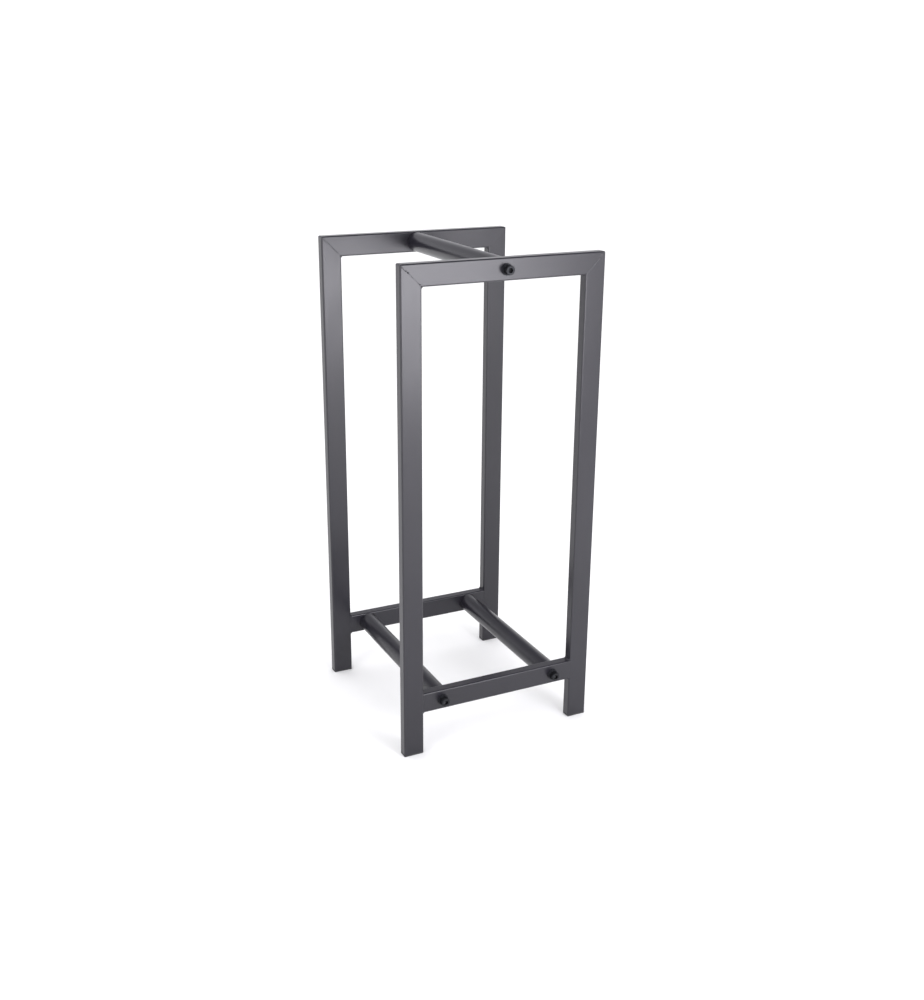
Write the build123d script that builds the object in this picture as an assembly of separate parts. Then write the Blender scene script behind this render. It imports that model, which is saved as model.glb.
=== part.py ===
from build123d import *
import os
from math import sqrt

# Firewood log rack: two upright welded frames of flat rectangular steel tube, held apart by
# three round cross tubes that are bolted on from the front and from the rear.
# Millimetres. X runs left to right, Y from front to rear, Z up.
# The origin is the centre of the footprint on the floor.

# Overall sizes, without the screw heads
WIDTH = 300.0
DEPTH = 300.0
HEIGHT = 700.0

# Flat rectangular tube of the two frames, wide side to the front
TUBE_WIDE = 30.0
TUBE_NARROW = 15.0
TUBE_WALL = 1.5
TUBE_CORNER_RADIUS = 2.0
LOWER_RAIL_UNDERSIDE = 65.0
FRAME_CORNER_RADIUS = 3.0

# Round cross tubes
CROSS_TUBE_RADIUS = 14.0
CROSS_TUBE_WALL = 1.5
LOWER_CROSS_TUBE_X = 90.0

# Welds, ground flush with the front and rear faces
WELD_DEPTH = 1.0
WELD_RECESS = 0.05
MITRE_WELD_HALF_WIDTH = 1.5
BUTT_WELD_WIDTH = 0.8
WELD_BEAD_LEG = 2.5
WELD_BEAD_BULGE = 0.35

# M8 socket head cap screw, 30 mm long
SCREW_LENGTH = 30.0
SCREW_HEAD_RADIUS = 6.5
SCREW_HEAD_HEIGHT = 8.0
SCREW_HEAD_CHAMFER = 0.8
SCREW_HEAD_FOOT_CHAMFER = 0.3
HEX_ACROSS_FLATS = 6.0
HEX_DEPTH = 4.0
HEX_CONE_DEPTH = 1.5
THREAD_RADIUS = 3.96
THREAD_ROOT_RADIUS = 3.23
THREAD_PITCH = 1.25
THREAD_CREST = THREAD_PITCH / 8
THREAD_ROOT = THREAD_PITCH / 4
THREAD_CLEARANCE = 0.08
SCREW_TIP_RADIUS = 2.9
SCREW_FIRST_TURN = 2
SCREW_LAST_TURN = 23
PLUG_FIRST_TURN = 14
PLUG_LAST_TURN = 29

# Washers under the head, and the clearance hole through both walls of a rail
FLAT_WASHER_RADIUS = 8.0
FLAT_WASHER_BORE_RADIUS = 4.2
FLAT_WASHER_THICKNESS = 1.6
SPRING_WASHER_RADIUS = 7.4
SPRING_WASHER_BORE_RADIUS = 4.05
SPRING_WASHER_THICKNESS = 2.0
SPRING_WASHER_GAP = 1.0
SPRING_WASHER_GAP_ANGLE = 30.0
SCREW_HOLE_RADIUS = 4.5

# Threaded steel plug inside each end of a cross tube
PLUG_CLEARANCE = 0.03
PLUG_RECESS = 0.5
PLUG_LENGTH = 16.0
PLUG_CHAMFER = 0.8

# Plastic end cap in the foot of each leg
CAP_FLANGE = 3.0
CAP_FLANGE_FILLET = 0.8
CAP_SPIGOT_HEIGHT = 14.0
CAP_SPIGOT_GAP = 0.6
CAP_SPIGOT_WALL = 1.8
CAP_FIN_COUNT = 3
CAP_FIN_HEIGHT = 1.2
CAP_FIN_PITCH = 4.0
CAP_FIN_GAP = 0.06

# Worked out from the sizes above
LEG_X = WIDTH / 2 - TUBE_WIDE / 2
INNER_X = WIDTH / 2 - TUBE_WIDE
FRAME_Y = DEPTH / 2 - TUBE_NARROW / 2
INNER_Y = DEPTH / 2 - TUBE_NARROW
TOP_RAIL_Z = HEIGHT - TUBE_WIDE / 2
TOP_RAIL_UNDERSIDE = HEIGHT - TUBE_WIDE
LOWER_RAIL_Z = LOWER_RAIL_UNDERSIDE + TUBE_WIDE / 2
LOWER_RAIL_TOP = LOWER_RAIL_UNDERSIDE + TUBE_WIDE
TUBE_INNER_WIDE = TUBE_WIDE - 2 * TUBE_WALL
TUBE_INNER_NARROW = TUBE_NARROW - 2 * TUBE_WALL
TUBE_INNER_CORNER = TUBE_CORNER_RADIUS - TUBE_WALL
CROSS_TUBE_BORE_RADIUS = CROSS_TUBE_RADIUS - CROSS_TUBE_WALL
SCREW_SEAT_Y = DEPTH / 2 + FLAT_WASHER_THICKNESS + SPRING_WASHER_THICKNESS
SPARE = 1.0

SIDES = {"left": -1, "right": 1}
FRAMES = {"front": -1, "rear": 1}
CROSS_TUBES = {
    "top": (0.0, TOP_RAIL_Z),
    "lower_left": (-LOWER_CROSS_TUBE_X, LOWER_RAIL_Z),
    "lower_right": (LOWER_CROSS_TUBE_X, LOWER_RAIL_Z),
}


def tube_outline(grow=0.0, flatten=0.0):
    """Outer outline of the flat tube, grown all round, and flattened on its two wide sides."""
    wide = TUBE_WIDE + 2 * grow
    narrow = TUBE_NARROW + 2 * grow - 2 * flatten
    return RectangleRounded(wide, narrow, TUBE_CORNER_RADIUS + grow)


def tube_bore():
    """Outline of the hollow inside the flat tube."""
    return RectangleRounded(TUBE_INNER_WIDE, TUBE_INNER_NARROW, TUBE_INNER_CORNER)


def upright(outline, bottom, top):
    """An outline run up the left leg of the front frame."""
    return Pos(-LEG_X, -FRAME_Y, bottom) * extrude(outline, top - bottom)


def crosswise(outline, z, start, end):
    """An outline run along X in the front frame, with its wide side upright."""
    section = Plane(origin=(start, -FRAME_Y, z), x_dir=(0, 0, 1), z_dir=(1, 0, 0))
    return extrude(section * outline, end - start)


def profile_along_y(points, half_length):
    """A straight-sided XZ shape, as long as the given half length each way in the front frame."""
    face = Plane.XZ * make_face(Polyline(*points, close=True))
    return Pos(0, -FRAME_Y, 0) * extrude(face, half_length, both=True)


def mitre_wedge(above):
    """What the 45 degree mitre of the upper left corner takes off a leg (above) or a rail."""
    outer = (-WIDTH / 2 - SPARE, HEIGHT + SPARE)
    inner = (-INNER_X + SPARE, TOP_RAIL_UNDERSIDE - SPARE)
    third = (inner[0], outer[1]) if above else (outer[0], inner[1])
    return profile_along_y([outer, inner, third], TUBE_NARROW)


def mitre_slab():
    """The thin slice along the mitre of the upper left corner that the weld lies in."""
    length = 2 * sqrt(2) * TUBE_WIDE
    slab = Rot(0, 45, 0) * Box(length, 2 * TUBE_NARROW, 2 * MITRE_WELD_HALF_WIDTH)
    return Pos(-LEG_X, -FRAME_Y, TOP_RAIL_Z) * slab


def corner_bodies(grow=0.0, flatten=0.0):
    """Leg and top rail of the upper left corner as solid bars, grown or shrunk all round."""
    outline = tube_outline(grow, flatten)
    leg = upright(outline, TOP_RAIL_UNDERSIDE - 2 * TUBE_WIDE, HEIGHT + grow)
    rail = crosswise(outline, TOP_RAIL_Z, -WIDTH / 2 - grow, -INNER_X + 2 * TUBE_WIDE)
    return leg + rail


def outer_corner_waste():
    """What rounding takes off the sharp outer edge of the upper left corner."""
    radius = FRAME_CORNER_RADIUS
    x = -WIDTH / 2 + radius
    z = HEIGHT - radius
    block = Pos(x - radius, -FRAME_Y, z + radius) * Box(2 * radius, 2 * TUBE_NARROW, 2 * radius)
    round_bar = Pos(x, -FRAME_Y, z) * Rot(90, 0, 0) * Cylinder(radius, 3 * TUBE_NARROW)
    return block - round_bar


def weld_bead(x, z, up):
    """Fillet bead in the inside corner at (x, z), where the leg is on the left."""
    tip = z + up * WELD_BEAD_LEG
    middle = WELD_BEAD_LEG / 2 + WELD_BEAD_BULGE / sqrt(2)
    face = make_face(
        [
            Line((x, tip), (x, z)),
            Line((x, z), (x + WELD_BEAD_LEG, z)),
            ThreePointArc((x + WELD_BEAD_LEG, z), (x + middle, z + up * middle), (x, tip)),
        ]
    )
    half_length = TUBE_NARROW / 2 - TUBE_CORNER_RADIUS
    return Pos(0, -FRAME_Y, 0) * extrude(Plane.XZ * face, half_length, both=True)


def mitre_groove():
    """Groove for the weld, ground into both tubes all round the mitre."""
    return mitre_slab() - corner_bodies(-WELD_DEPTH)


def mitre_weld():
    """Weld all round the upper left mitre, with a bead in the inside corner."""
    ring = corner_bodies(flatten=WELD_RECESS) - corner_bodies(-WELD_DEPTH)
    weld = (mitre_slab() & ring) - outer_corner_waste()
    return weld + weld_bead(-INNER_X, TOP_RAIL_UNDERSIDE, -1)


def butt_groove():
    """Groove for the weld, ground all round the left end of the lower rail."""
    end = -INNER_X + BUTT_WELD_WIDTH
    outside = crosswise(tube_outline(SPARE), LOWER_RAIL_Z, -INNER_X - SPARE, end)
    inside = crosswise(tube_outline(-WELD_DEPTH), LOWER_RAIL_Z, -INNER_X - SPARE, end)
    return outside - inside


def butt_weld():
    """Weld between the lower rail and the rounded edges of the left leg, with two beads."""
    start = -INNER_X - TUBE_CORNER_RADIUS
    end = -INNER_X + BUTT_WELD_WIDTH
    outside = crosswise(tube_outline(flatten=WELD_RECESS), LOWER_RAIL_Z, start, end)
    inside = crosswise(tube_outline(-WELD_DEPTH), LOWER_RAIL_Z, start, end)
    leg = upright(tube_outline(), 0, HEIGHT)
    weld = outside - inside - leg
    weld += weld_bead(-INNER_X, LOWER_RAIL_TOP, 1)
    return weld + weld_bead(-INNER_X, LOWER_RAIL_UNDERSIDE, -1)


def leg():
    """Left leg: flat tube, mitred at the top and square at the foot, on its end cap."""
    tube = upright(tube_outline(), CAP_FLANGE, HEIGHT) - upright(tube_bore(), 0, HEIGHT)
    return tube - mitre_wedge(above=True) - mitre_groove() - outer_corner_waste()


def screw_hole(x, z):
    """Clearance hole for a screw through both walls of a rail."""
    return Pos(x, -FRAME_Y, z) * Rot(90, 0, 0) * Cylinder(SCREW_HOLE_RADIUS, 2 * TUBE_NARROW)


def top_rail():
    """Top rail: flat tube, mitred at both ends, with one screw hole at its middle."""
    start = -WIDTH / 2
    tube = crosswise(tube_outline(), TOP_RAIL_Z, start, -start)
    tube -= crosswise(tube_bore(), TOP_RAIL_Z, start, -start)
    end_cuts = mitre_wedge(above=False) + mitre_groove() + outer_corner_waste()
    tube -= end_cuts
    tube -= mirror(end_cuts, about=Plane.YZ)
    return tube - screw_hole(*CROSS_TUBES["top"])


def lower_rail():
    """Lower rail: flat tube cut square between the legs, with two screw holes."""
    tube = crosswise(tube_outline(), LOWER_RAIL_Z, -INNER_X, INNER_X)
    tube -= crosswise(tube_bore(), LOWER_RAIL_Z, -INNER_X, INNER_X)
    groove = butt_groove()
    tube -= groove
    tube -= mirror(groove, about=Plane.YZ)
    tube -= screw_hole(*CROSS_TUBES["lower_left"])
    return tube - screw_hole(*CROSS_TUBES["lower_right"])


def foot_end_cap():
    """Plastic cap of the left leg: a flange to stand on, and a ribbed spigot in the tube."""
    flange = Pos(-LEG_X, -FRAME_Y, 0) * extrude(tube_outline(), CAP_FLANGE)
    flange = fillet(flange.edges().group_by(Axis.Z)[0], CAP_FLANGE_FILLET)
    wide = TUBE_INNER_WIDE - 2 * CAP_SPIGOT_GAP
    narrow = TUBE_INNER_NARROW - 2 * CAP_SPIGOT_GAP
    spigot = Rectangle(wide, narrow)
    hollow = Rectangle(wide - 2 * CAP_SPIGOT_WALL, narrow - 2 * CAP_SPIGOT_WALL)
    cap = flange + upright(spigot - hollow, CAP_FLANGE, CAP_FLANGE + CAP_SPIGOT_HEIGHT)
    fin_wide = TUBE_INNER_WIDE - 2 * CAP_FIN_GAP
    fin_narrow = TUBE_INNER_NARROW - 2 * CAP_FIN_GAP
    fin = RectangleRounded(fin_wide, fin_narrow, TUBE_INNER_CORNER) - hollow
    for turn in range(CAP_FIN_COUNT):
        bottom = CAP_FLANGE + CAP_FIN_PITCH * (turn + 0.5)
        cap += upright(fin, bottom, bottom + CAP_FIN_HEIGHT)
    return cap


def cross_tube(x, z):
    """Round tube between the inner faces of the two frames."""
    ring = Circle(CROSS_TUBE_RADIUS) - Circle(CROSS_TUBE_BORE_RADIUS)
    return Pos(x, 0, z) * Rot(90, 0, 0) * extrude(ring, INNER_Y, both=True)


def thread_outline(first, last, clearance=0.0):
    """Radius and height of the thread's ridges, turn by turn down from the head's seat."""
    flank = (THREAD_PITCH - THREAD_CREST - THREAD_ROOT) / 2
    crest = THREAD_RADIUS + clearance
    root = THREAD_ROOT_RADIUS + clearance
    points = []
    for turn in range(first, last):
        z = -turn * THREAD_PITCH
        points.append((root, z))
        points.append((crest, z - flank))
        points.append((crest, z - flank - THREAD_CREST))
        points.append((root, z - 2 * flank - THREAD_CREST))
    return points


def revolved(points):
    """A closed outline of radius and height points, turned about the Z axis."""
    return revolve(Plane.XZ * make_face(Polyline(*points, close=True)), Axis.Z)


def cap_screw():
    """M8 socket head cap screw, its seat at Z = 0 and its head upwards."""
    radius = SCREW_HEAD_RADIUS
    top = SCREW_HEAD_HEIGHT
    foot = SCREW_HEAD_FOOT_CHAMFER
    outline = [
        (0, top),
        (radius - SCREW_HEAD_CHAMFER, top),
        (radius, top - SCREW_HEAD_CHAMFER),
        (radius, foot),
        (radius - foot, 0),
        (THREAD_RADIUS, 0),
        (THREAD_RADIUS, -SCREW_FIRST_TURN * THREAD_PITCH + THREAD_CREST),
    ]
    outline += thread_outline(SCREW_FIRST_TURN, SCREW_LAST_TURN)
    outline += [(SCREW_TIP_RADIUS, -SCREW_LENGTH), (0, -SCREW_LENGTH)]
    hexagon = RegularPolygon(HEX_ACROSS_FLATS / 2, 6, major_radius=False)
    socket = Pos(0, 0, top - HEX_DEPTH) * extrude(hexagon, HEX_DEPTH + SPARE)
    cone_height = top - HEX_DEPTH - HEX_CONE_DEPTH / 2
    cone = Pos(0, 0, cone_height) * Cone(0, HEX_ACROSS_FLATS / 2, HEX_CONE_DEPTH)
    return revolved(outline) - socket - cone


def flat_washer():
    """Flat washer, standing on Z = 0."""
    ring = Circle(FLAT_WASHER_RADIUS) - Circle(FLAT_WASHER_BORE_RADIUS)
    return extrude(ring, FLAT_WASHER_THICKNESS)


def spring_washer():
    """Split spring lock washer, pressed flat, standing on Z = 0."""
    ring = extrude(
        Circle(SPRING_WASHER_RADIUS) - Circle(SPRING_WASHER_BORE_RADIUS),
        SPRING_WASHER_THICKNESS,
    )
    middle = (SPRING_WASHER_RADIUS + SPRING_WASHER_BORE_RADIUS) / 2
    split = Box(SPRING_WASHER_RADIUS, SPRING_WASHER_GAP, 4 * SPRING_WASHER_THICKNESS)
    split = Rot(SPRING_WASHER_GAP_ANGLE, 0, 0) * split
    return ring - Pos(middle, 0, SPRING_WASHER_THICKNESS / 2) * split


def threaded_plug():
    """Tapped steel plug of a cross tube, placed as its screw's seat were at Z = 0."""
    radius = CROSS_TUBE_BORE_RADIUS - PLUG_CLEARANCE
    top = INNER_Y - PLUG_RECESS - SCREW_SEAT_Y
    body = Pos(0, 0, top - PLUG_LENGTH / 2) * Cylinder(radius, PLUG_LENGTH)
    body = chamfer(body.edges().filter_by(GeomType.CIRCLE), PLUG_CHAMFER)
    points = [(0, -PLUG_FIRST_TURN * THREAD_PITCH)]
    points += thread_outline(PLUG_FIRST_TURN, PLUG_LAST_TURN, THREAD_CLEARANCE)
    points.append((0, points[-1][1]))
    return body - revolved(points)


def on_screw_axis(solid, x, z, side, y):
    """Put a piece that was made about the Z axis on a screw's axis, Z pointing outwards."""
    place = Plane(origin=(x, side * y, z), x_dir=(1, 0, 0), z_dir=(0, side, 0))
    return place.location * solid


def write(name, solid):
    """Write one piece as its own STEP file."""
    solid.label = name
    export_step(solid, f"parts/{name}.step")


def in_frame(solid, side, frame):
    """Turn a piece of the front frame's left side into its twin on any side and frame."""
    if side > 0:
        solid = mirror(solid, about=Plane.YZ)
    if frame > 0:
        solid = mirror(solid, about=Plane.XZ)
    return solid


def write_frames():
    """Legs, rails, welds and foot caps of both frames."""
    handed = {
        "leg": leg(),
        "foot_end_cap": foot_end_cap(),
        "upper_weld": mitre_weld(),
        "lower_weld": butt_weld(),
    }
    rails = {"top_rail": top_rail(), "lower_rail": lower_rail()}
    for frame_name, frame in FRAMES.items():
        for name, solid in rails.items():
            write(f"{frame_name}_{name}", in_frame(solid, -1, frame))
        for side_name, side in SIDES.items():
            for name, solid in handed.items():
                write(f"{frame_name}_{side_name}_{name}", in_frame(solid, side, frame))


def write_cross_tubes():
    """Cross tubes, and at both ends of each its plug, washers and screw."""
    fastening = {
        "threaded_plug": (threaded_plug(), SCREW_SEAT_Y),
        "flat_washer": (flat_washer(), DEPTH / 2),
        "spring_washer": (spring_washer(), DEPTH / 2 + FLAT_WASHER_THICKNESS),
        "cap_screw": (cap_screw(), SCREW_SEAT_Y),
    }
    for tube_name, (x, z) in CROSS_TUBES.items():
        write(f"{tube_name}_cross_tube", cross_tube(x, z))
        for frame_name, frame in FRAMES.items():
            for name, (solid, y) in fastening.items():
                piece = on_screw_axis(solid, x, z, frame, y)
                write(f"{frame_name}_{tube_name}_{name}", piece)


os.makedirs("parts", exist_ok=True)
write_frames()
write_cross_tubes()
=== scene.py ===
import math
import random

import bmesh
import bpy
from mathutils import Matrix, Vector, noise


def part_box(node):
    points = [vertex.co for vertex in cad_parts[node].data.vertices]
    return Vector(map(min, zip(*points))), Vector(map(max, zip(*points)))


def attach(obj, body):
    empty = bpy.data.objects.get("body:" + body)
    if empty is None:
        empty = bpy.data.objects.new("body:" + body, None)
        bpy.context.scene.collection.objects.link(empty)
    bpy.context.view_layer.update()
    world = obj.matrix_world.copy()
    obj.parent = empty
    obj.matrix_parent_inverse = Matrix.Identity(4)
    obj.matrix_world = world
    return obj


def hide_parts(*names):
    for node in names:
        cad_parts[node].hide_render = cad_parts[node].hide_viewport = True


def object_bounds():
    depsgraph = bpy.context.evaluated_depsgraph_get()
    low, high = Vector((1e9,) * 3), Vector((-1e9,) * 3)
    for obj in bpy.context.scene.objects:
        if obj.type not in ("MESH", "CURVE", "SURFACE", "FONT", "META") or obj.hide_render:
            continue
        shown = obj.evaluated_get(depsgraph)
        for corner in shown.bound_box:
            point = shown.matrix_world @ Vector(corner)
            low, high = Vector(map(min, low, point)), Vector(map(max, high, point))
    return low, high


bl_info = {
    "name": "Firewood Log Rack",
    "version": (1, 0, 0),
    "blender": (4, 5, 0),
    "location": "View3D > Sidebar > Log Rack",
    "description": "Coat, screws, washers, welds and studio of a steel firewood log rack",
    "category": "Object",
}

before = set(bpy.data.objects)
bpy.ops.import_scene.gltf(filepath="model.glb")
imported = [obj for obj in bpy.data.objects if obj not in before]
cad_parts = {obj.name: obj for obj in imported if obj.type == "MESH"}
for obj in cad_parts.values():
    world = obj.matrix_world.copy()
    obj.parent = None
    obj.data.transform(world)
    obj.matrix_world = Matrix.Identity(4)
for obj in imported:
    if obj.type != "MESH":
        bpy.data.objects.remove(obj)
CAD_LOW, CAD_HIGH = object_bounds()
CENTRE = (CAD_LOW + CAD_HIGH) / 2

MM = 0.001
FULL_TURN = 2 * math.pi
BODY = "root"

# Which way each frame faces along Y, and on which side along X each leg stands
FRAMES = {"front": -1, "rear": 1}
SIDES = {"left": -1, "right": 1}
TUBES = ("top", "lower_left", "lower_right")

# The frames' flat tube and where it runs, as the CAD has it
LEG_LOW, LEG_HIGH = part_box("rear_right_leg")
RAIL_LOW, RAIL_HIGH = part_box("rear_lower_rail")
TOP_RAIL_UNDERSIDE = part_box("rear_top_rail")[0].z
TUBE_WIDE = LEG_HIGH.x - LEG_LOW.x
TUBE_NARROW = LEG_HIGH.y - LEG_LOW.y
TUBE_CORNER = 2 * MM
OUTER_CORNER = 3 * MM
FRAME_Y = (LEG_LOW.y + LEG_HIGH.y) / 2
INNER_X = LEG_LOW.x
LOWER_RAIL_Z = (RAIL_LOW.z + RAIL_HIGH.z) / 2

# The screws and washers
SCREW_LOW, SCREW_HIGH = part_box("rear_top_cap_screw")
FLAT_LOW, FLAT_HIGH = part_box("rear_top_flat_washer")
SPRING_LOW, SPRING_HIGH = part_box("rear_top_spring_washer")

# Seeds of the first mitre weld and the first butt weld, and what a butt weld's lower bead adds
FIRST_MITRE = 1
FIRST_BUTT = 11
SECOND_BEAD = 50

# Pits in the face of the front left mitre, the one seen most: along the seam from its middle
# and across it towards the rail, radius and depth, all in millimetres
FIRST_MITRE_PITS = (
    (-17.7, -0.9, 0.9, 0.45),
    (-14.2, -1.0, 0.7, 0.30),
    (-10.6, -0.9, 0.8, 0.35),
    (-9.4, 0.0, 0.6, 0.35),
    (-6.4, 0.1, 1.0, 0.60),
    (16.4, 0.7, 1.0, 0.60),
)

# Roughness of the blackened steel, and radius in mm of its rubbed edges
SCREW_FINISH = (0.46, 0.25)
WASHER_FINISH = (0.48, 0.3)

# Sockets of a Mix node that mixes colours
MIX_FACTOR, MIX_A, MIX_B, MIX_RESULT = 0, 6, 7, 2


# ---------------------------------------------------------------- colours and nodes


def linear(hex_colour):
    """An sRGB hex colour such as "3f3f43" as linear red, green and blue."""
    channels = [int(hex_colour[i:i + 2], 16) / 255 for i in (0, 2, 4)]
    return [c / 12.92 if c <= 0.04045 else ((c + 0.055) / 1.055) ** 2.4 for c in channels]


def shade(colour, factor, lift=0.0):
    """A colour made darker or lighter, with alpha for a node's socket."""
    return (*(min(1.0, c * factor + lift) for c in colour), 1.0)


def per_mm(size_mm):
    """Texture scale that gives features of this size."""
    return 1 / (size_mm * MM)


def add(tree, kind, inputs=(), **settings):
    """Add a node with its settings; inputs gives each socket a value or another socket."""
    node = tree.nodes.new(kind)
    for key, value in settings.items():
        setattr(node, key, value)
    for key, value in dict(inputs).items():
        if isinstance(value, bpy.types.NodeSocket):
            tree.links.new(value, node.inputs[key])
        else:
            node.inputs[key].default_value = value
    return node


def start_material(name):
    """A new material: its node tree and the Object coordinates that its patterns read."""
    material = bpy.data.materials.new(name)
    material.use_nodes = True
    tree = material.node_tree
    tree.nodes.clear()
    return material, tree, add(tree, "ShaderNodeTexCoord").outputs["Object"]


def finish_material(tree, inputs):
    """End a material's tree with the Principled shader that has these inputs."""
    shader = add(tree, "ShaderNodeBsdfPrincipled", inputs)
    add(tree, "ShaderNodeOutputMaterial", {"Surface": shader.outputs["BSDF"]})


def worn_edge(tree, place, radius_mm, patch_mm, strength):
    """How much an edge is rubbed: 0 on the faces, up to strength on the edges, in patches."""
    rounded = add(tree, "ShaderNodeBevel", {"Radius": radius_mm * MM}, samples=6)
    plain = add(tree, "ShaderNodeNewGeometry")
    alike = add(tree, "ShaderNodeVectorMath", {
        0: rounded.outputs["Normal"], 1: plain.outputs["Normal"],
    }, operation="DOT_PRODUCT")
    edge = add(tree, "ShaderNodeMapRange", {
        "Value": alike.outputs["Value"], "From Min": 0.90, "From Max": 0.998, "To Min": strength,
        "To Max": 0.0,
    })
    patch = add(tree, "ShaderNodeTexNoise", {
        "Vector": place, "Scale": per_mm(patch_mm), "Detail": 4.0,
    })
    patchy = add(tree, "ShaderNodeMapRange", {
        "Value": patch.outputs["Fac"], "From Min": 0.40, "From Max": 0.62, "To Min": 0.25,
    })
    return add(tree, "ShaderNodeMath", {
        0: edge.outputs["Result"], 1: patchy.outputs["Result"],
    }, operation="MULTIPLY").outputs["Value"]


# ---------------------------------------------------------------- materials


def satin_powder_coat(name, settings, stretch=(1.0, 1.0, 1.0)):
    """Polyester powder coat on steel tube, sprayed and baked, satin.

    The eye gets a cool dark grey with a wide soft sheen, faint orange peel in the sheen, a
    slightly cloudy film, and edges a touch paler where the film is thin and gets rubbed.
    """
    material, tree, place = start_material(name)
    colour = settings.colour
    drawn = add(tree, "ShaderNodeMapping", {"Vector": place, "Scale": stretch}).outputs["Vector"]
    film = add(tree, "ShaderNodeTexNoise", {"Vector": drawn, "Scale": per_mm(90), "Detail": 3.0})
    cloudy = add(tree, "ShaderNodeMapRange", {
        "Value": film.outputs["Fac"], "From Min": 0.35, "From Max": 0.65,
    })
    base = add(tree, "ShaderNodeMix", {
        MIX_FACTOR: cloudy.outputs["Result"], MIX_A: shade(colour, 0.90),
        MIX_B: shade(colour, 1.10),
    }, data_type="RGBA")
    # Grains of pigment are under 0.1 mm; they are drawn at 1.2 mm so that they show at all.
    grain = add(tree, "ShaderNodeTexNoise", {"Vector": place, "Scale": per_mm(1.2), "Detail": 1.0})
    flecks = add(tree, "ShaderNodeMapRange", {
        "Value": grain.outputs["Fac"], "From Min": 0.50, "From Max": 0.80, "To Max": 0.16,
    })
    grained = add(tree, "ShaderNodeMix", {
        MIX_FACTOR: flecks.outputs["Result"], MIX_A: base.outputs[MIX_RESULT],
        MIX_B: shade(colour, 1.5),
    }, data_type="RGBA")
    edged = add(tree, "ShaderNodeMix", {
        MIX_FACTOR: worn_edge(tree, place, 1.2, 14, settings.edge_wear),
        MIX_A: grained.outputs[MIX_RESULT], MIX_B: shade(colour, 1.8, 0.01),
    }, data_type="RGBA")
    sheen = add(tree, "ShaderNodeTexNoise", {
        "Vector": drawn, "Scale": per_mm(32), "Detail": 4.0, "Roughness": 0.6,
    })
    rough = add(tree, "ShaderNodeMapRange", {
        "Value": sheen.outputs["Fac"], "From Min": 0.3, "From Max": 0.7,
        "To Min": settings.roughness - 0.02, "To Max": settings.roughness + 0.02,
    })
    # The peel of such a coat is about 1.5 mm from crest to crest; it is drawn at 2.6 mm to show.
    peel = add(tree, "ShaderNodeTexNoise", {"Vector": place, "Scale": per_mm(2.6), "Detail": 1.0})
    waves = add(tree, "ShaderNodeBump", {
        "Height": peel.outputs["Fac"], "Strength": 0.5, "Distance": settings.peel_depth,
    })
    powder = add(tree, "ShaderNodeBump", {
        "Height": grain.outputs["Fac"], "Strength": 0.2, "Distance": settings.peel_depth / 3,
        "Normal": waves.outputs["Normal"],
    })
    finish_material(tree, {
        "Base Color": edged.outputs[MIX_RESULT], "Roughness": rough.outputs["Result"], "IOR": 1.5,
        "Normal": powder.outputs["Normal"],
    })
    return material


def coat_over_weld(name, settings):
    """The same powder coat over a weld that was ground down by hand.

    The eye gets uneven facets with a slightly duller sheen, fine scratches of the grinding disc
    that the film hasn't levelled, and a few pinholes that it hasn't filled, painted near black
    as painted shade in the pits.
    """
    material, tree, place = start_material(name)
    colour = settings.colour
    cells = add(tree, "ShaderNodeTexVoronoi", {
        "Vector": place, "Scale": per_mm(7), "Randomness": 1.0,
    })
    pinhole_and_painted_shade = add(tree, "ShaderNodeMapRange", {
        "Value": cells.outputs["Distance"], "From Min": 0.03, "From Max": 0.07,
    })
    # Painted shade: the pinholes' colour is taken down to near black for the shade in the pits;
    # their dip itself comes from the bump further down.
    base = add(tree, "ShaderNodeMix", {
        MIX_FACTOR: pinhole_and_painted_shade.outputs["Result"], MIX_A: shade(colour, 0.25),
        MIX_B: shade(colour, 0.97),
    }, data_type="RGBA")
    facets = add(tree, "ShaderNodeTexNoise", {"Vector": place, "Scale": per_mm(2.2), "Detail": 3.0})
    rough = add(tree, "ShaderNodeMapRange", {
        "Value": facets.outputs["Fac"], "From Min": 0.3, "From Max": 0.7,
        "To Min": settings.roughness - 0.02, "To Max": settings.roughness + 0.05,
    })
    # Scratches of an 80 grit disc are about 0.2 mm apart; they are drawn at 0.5 mm to show.
    scratched = add(tree, "ShaderNodeMapping", {
        "Vector": place, "Scale": (1.0, 1.0, 0.15), "Rotation": (0.0, 0.6, 0.0),
    })
    scratches = add(tree, "ShaderNodeTexNoise", {
        "Vector": scratched.outputs["Vector"], "Scale": per_mm(0.5), "Detail": 2.0,
    })
    uneven = add(tree, "ShaderNodeBump", {
        "Height": facets.outputs["Fac"], "Strength": 0.5, "Distance": 0.03 * MM,
    })
    lined = add(tree, "ShaderNodeBump", {
        "Height": scratches.outputs["Fac"], "Strength": 0.3, "Distance": 0.01 * MM,
        "Normal": uneven.outputs["Normal"],
    })
    pitted = add(tree, "ShaderNodeBump", {
        "Height": pinhole_and_painted_shade.outputs["Result"], "Strength": 0.8, "Distance": 0.2 * MM,
        "Normal": lined.outputs["Normal"],
    })
    finish_material(tree, {
        "Base Color": base.outputs[MIX_RESULT], "Roughness": rough.outputs["Result"], "IOR": 1.5,
        "Normal": pitted.outputs["Normal"],
    })
    return material


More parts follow.
